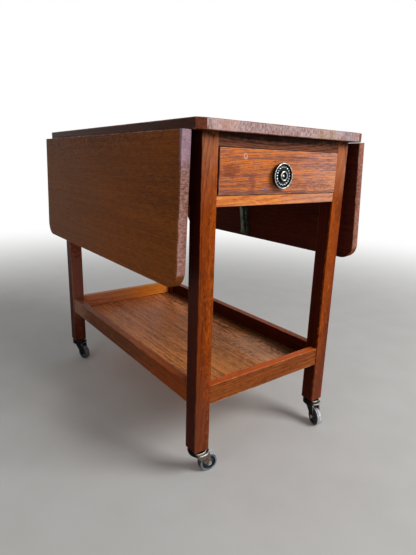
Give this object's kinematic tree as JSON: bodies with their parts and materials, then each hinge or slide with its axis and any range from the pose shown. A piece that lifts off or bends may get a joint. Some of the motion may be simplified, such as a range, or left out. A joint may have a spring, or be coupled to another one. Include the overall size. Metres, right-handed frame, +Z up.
{
  "type": "drop leaf tea trolley",
  "caption": "Oak tea trolley with hinged drop leaves, a drawer with a round rosette knob, an open lower shelf and swivel castors on square legs.",
  "frame": {"origin": "on the floor under the middle of the trolley's overall box, with the leaves hanging and the drawer shut", "axes": "+Z up, +Y from the drawer end to the rear end along the trolley's length, +X to the right across its width as seen from the drawer end"},
  "size_m": [0.518, 0.7487, 0.708],
  "materials": {
    "top_oak": "satin oiled oak",
    "leaf_oak": "satin oiled oak",
    "frame_oak": "satin oiled oak",
    "drawer_oak": "satin oiled oak",
    "shelf_oak": "satin oiled oak veneer",
    "drawer_lining": "plain unpolished wood",
    "inner_wood": "plain unpolished wood",
    "knob_metal": "dark antique metal, rubbed bright on its high points",
    "hinge_brass": "dulled",
    "stay_steel": "zinc plated, dulled",
    "castor_metal": "dark bronzed, worn",
    "castor_fork": "dark bronzed, worn",
    "axle_steel": "dull",
    "castor_wheel": "grey rubber, polished by use",
    "screw_steel": "dull"
  },
  "bodies": {
    "frame": {"castor_sockets": "castor_metal", "drawer_bottom_rail": "frame_oak", "drawer_stops": "inner_wood", "drawer_top_rail": "frame_oak", "left_apron": "frame_oak", "left_drawer_kicker": "inner_wood", "left_drawer_runner": "inner_wood", "left_hinge_pins": "hinge_brass", "left_hinge_top_flaps": "hinge_brass", "left_stay_bracket": "stay_steel", "left_stay_rivet": "stay_steel", "leg_front_left": "frame_oak", "leg_front_right": "frame_oak", "leg_rear_left": "frame_oak", "leg_rear_right": "frame_oak", "metalwork_screws": "screw_steel", "rear_apron": "frame_oak", "right_apron": "frame_oak", "right_drawer_kicker": "inner_wood", "right_drawer_runner": "inner_wood", "right_hinge_pins": "hinge_brass", "right_hinge_top_flaps": "hinge_brass", "right_stay_bracket": "stay_steel", "right_stay_rivet": "stay_steel", "shelf_front_rail": "frame_oak", "shelf_left_rail": "frame_oak", "shelf_panel": "shelf_oak", "shelf_rear_rail": "frame_oak", "shelf_right_rail": "frame_oak", "top_board": "top_oak", "top_screws": "screw_steel"},
    "drawer": {"drawer_front": "drawer_oak", "left_drawer_side": "drawer_lining", "right_drawer_side": "drawer_lining", "drawer_back": "drawer_lining", "drawer_bottom": "drawer_lining", "drawer_knob": "knob_metal", "knob_bolt": "screw_steel"},
    "left_leaf": {"left_leaf": "leaf_oak", "left_hinge_leaf_flaps": "hinge_brass", "left_leaf_screws": "screw_steel", "left_stay_track": "stay_steel"},
    "left_stay_arm": {"left_stay_arm": "stay_steel"},
    "right_leaf": {"right_leaf": "leaf_oak", "right_hinge_leaf_flaps": "hinge_brass", "right_leaf_screws": "screw_steel", "right_stay_track": "stay_steel"},
    "right_stay_arm": {"right_stay_arm": "stay_steel"},
    "castor_front_left": {"castor_fork_front_left": "castor_fork", "castor_axle_front_left": "axle_steel"},
    "wheel_front_left": {"castor_wheel_front_left": "castor_wheel"},
    "castor_front_right": {"castor_fork_front_right": "castor_fork", "castor_axle_front_right": "axle_steel"},
    "wheel_front_right": {"castor_wheel_front_right": "castor_wheel"},
    "castor_rear_left": {"castor_fork_rear_left": "castor_fork", "castor_axle_rear_left": "axle_steel"},
    "wheel_rear_left": {"castor_wheel_rear_left": "castor_wheel"},
    "castor_rear_right": {"castor_fork_rear_right": "castor_fork", "castor_axle_rear_right": "axle_steel"},
    "wheel_rear_right": {"castor_wheel_rear_right": "castor_wheel"}
  },
  "joints": [
    {"name": "left_leaf_hinge", "type": "hinge", "parent": "frame", "child": "left_leaf", "pos_m": [-0.2296, 0.0131, 0.6874], "axis": [0, 1, 0], "range_deg": [0, 88.1]},
    {"name": "left_stay_pivot", "type": "hinge", "parent": "frame", "child": "left_stay_arm", "pos_m": [-0.2097, 0.0281, 0.629], "axis": [0, 1, 0], "range_deg": [0, 99.08]},
    {"name": "right_leaf_hinge", "type": "hinge", "parent": "frame", "child": "right_leaf", "pos_m": [0.2172, 0.0131, 0.6874], "axis": [0, -1, 0], "range_deg": [0, 85.4]},
    {"name": "right_stay_pivot", "type": "hinge", "parent": "frame", "child": "right_stay_arm", "pos_m": [0.1973, 0.0281, 0.629], "axis": [0, -1, 0], "range_deg": [0, 95.58]},
    {"name": "drawer_slide", "type": "slide", "parent": "frame", "child": "drawer", "axis": [0, -1, 0], "range_m": [0, 0.25]},
    {"name": "castor_swivel_front_left", "type": "hinge", "parent": "frame", "child": "castor_front_left", "pos_m": [-0.1862, -0.3274, 0.062], "axis": [0, 0, 1], "continuous": true},
    {"name": "wheel_spin_front_left", "type": "hinge", "parent": "castor_front_left", "child": "wheel_front_left", "pos_m": [-0.16045, -0.33102, 0.021], "axis": [0.1392, 0.9903, 0], "continuous": true},
    {"name": "castor_swivel_front_right", "type": "hinge", "parent": "frame", "child": "castor_front_right", "pos_m": [0.1738, -0.3274, 0.062], "axis": [0, 0, 1], "continuous": true},
    {"name": "wheel_spin_front_right", "type": "hinge", "parent": "castor_front_right", "child": "wheel_front_right", "pos_m": [0.16577, -0.35213, 0.021], "axis": [0.9511, -0.309, 0], "continuous": true},
    {"name": "castor_swivel_rear_left", "type": "hinge", "parent": "frame", "child": "castor_rear_left", "pos_m": [-0.1862, 0.3536, 0.062], "axis": [0, 0, 1], "continuous": true},
    {"name": "wheel_spin_rear_left", "type": "hinge", "parent": "castor_rear_left", "child": "wheel_rear_left", "pos_m": [-0.17947, 0.32849, 0.021], "axis": [0.9659, 0.2588, 0], "continuous": true},
    {"name": "castor_swivel_rear_right", "type": "hinge", "parent": "frame", "child": "castor_rear_right", "pos_m": [0.1738, 0.3536, 0.062], "axis": [0, 0, 1], "continuous": true},
    {"name": "wheel_spin_rear_right", "type": "hinge", "parent": "castor_rear_right", "child": "wheel_rear_right", "pos_m": [0.1738, 0.3276, 0.021], "axis": [1, 0, 0], "continuous": true}
  ],
  "couplings": [
    {"joint": "left_stay_pivot", "follows": "left_leaf_hinge", "ratio": 1.1246},
    {"joint": "right_stay_pivot", "follows": "right_leaf_hinge", "ratio": 1.1192}
  ]
}
